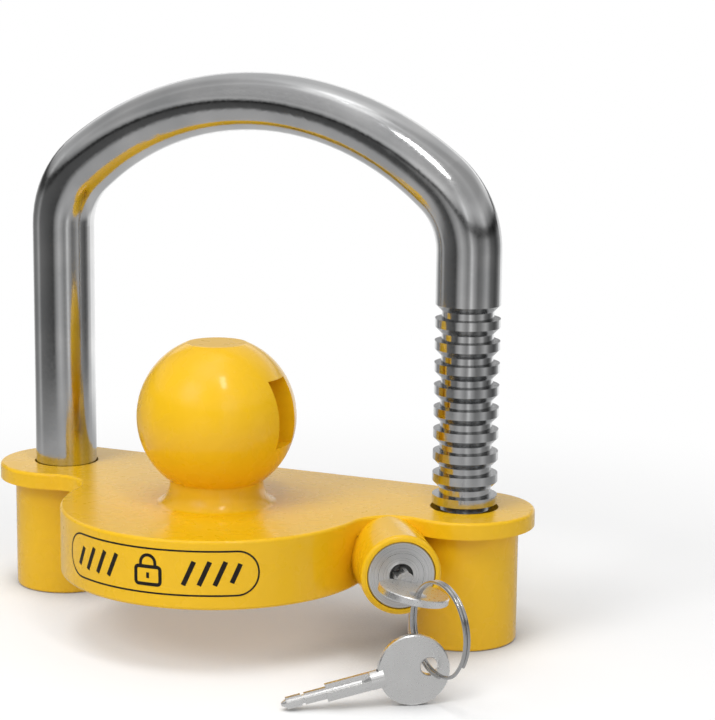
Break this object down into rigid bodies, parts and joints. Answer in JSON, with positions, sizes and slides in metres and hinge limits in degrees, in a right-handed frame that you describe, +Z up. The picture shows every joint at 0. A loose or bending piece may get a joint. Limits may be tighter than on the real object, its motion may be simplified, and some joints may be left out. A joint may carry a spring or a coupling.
{
  "type": "trailer coupler lock",
  "caption": "Trailer coupler lock: cast body with a ball and two collars, sliding ratchet shackle, cross-key cylinder lock, and keys on a split ring",
  "frame": {"origin": "centre of the ball that fills the coupler's socket", "axes": "+Z up along the ball's neck and the shackle's legs, +X toward the leg with the teeth, -Y the rounded front of the plate"},
  "size_m": [0.1854, 0.1038, 0.1637],
  "materials": {
    "yellow_coat": "glossy yellow powder coat",
    "shackle_steel": "polished and plated steel rod",
    "lock_face_steel": "turned steel face",
    "pin_steel": "ground steel",
    "spring_steel": "spring wire",
    "pin_brass": "turned brass",
    "key_nickel": "nickel plated, satin",
    "ring_steel": "bright wire"
  },
  "bodies": {
    "casting": {"lock_body": "yellow_coat", "lock_cylinder_shell": "lock_face_steel", "cylinder_retaining_pin": "pin_steel", "bolt_spring": "spring_steel", "bolt_bore_plug": "pin_steel", "driver_pin_1": "pin_brass", "pin_spring_1": "spring_steel", "pin_cap_1": "pin_brass", "driver_pin_2": "pin_brass", "pin_spring_2": "spring_steel", "pin_cap_2": "pin_brass", "driver_pin_3": "pin_brass", "pin_spring_3": "spring_steel", "pin_cap_3": "pin_brass", "driver_pin_4": "pin_brass", "pin_spring_4": "spring_steel", "pin_cap_4": "pin_brass"},
    "shackle": {"shackle": "shackle_steel"},
    "plug": {"lock_plug": "lock_face_steel", "plug_clip": "spring_steel", "key_pin_1": "pin_brass", "key_pin_2": "pin_brass", "key_pin_3": "pin_brass", "key_pin_4": "pin_brass"},
    "bolt": {"locking_bolt": "pin_steel"},
    "key": {"key_bow": "key_nickel", "key_blade": "key_nickel"},
    "ring": {"key_ring": "ring_steel"},
    "spare_key": {"spare_key_bow": "key_nickel", "spare_key_blade": "key_nickel"}
  },
  "joints": [
    {"name": "shackle_slide", "type": "slide", "parent": "casting", "child": "shackle", "axis": [0, 0, 1], "range_m": [-0.0585, 0.0455]},
    {"name": "plug_turn", "type": "hinge", "parent": "casting", "child": "plug", "pos_m": [0.06422, -0.01178, -0.0374], "axis": [0.5519, -0.8339, 0], "range_deg": [-90, 0]},
    {"name": "bolt_slide", "type": "slide", "parent": "casting", "child": "bolt", "axis": [0.8339, 0.5519, 0], "range_m": [0, 0.00316]},
    {"name": "key_slide", "type": "slide", "parent": "plug", "child": "key", "axis": [0.5519, -0.8339, 0], "range_m": [0, 0.026]},
    {"name": "ring_swivel", "type": "hinge", "parent": "key", "child": "ring", "pos_m": [0.0763, -0.03004, -0.0374], "axis": [0, 0, 1], "range_deg": [-12, 25]},
    {"name": "spare_swing", "type": "hinge", "parent": "ring", "child": "spare_key", "pos_m": [0.08167, -0.03373, -0.05444], "axis": [0.549, -0.8358, 0], "range_deg": [-15, 75]}
  ],
  "couplings": [
    {"joint": "bolt_slide", "follows": "plug_turn", "m_per_rad": -0.0019807}
  ]
}
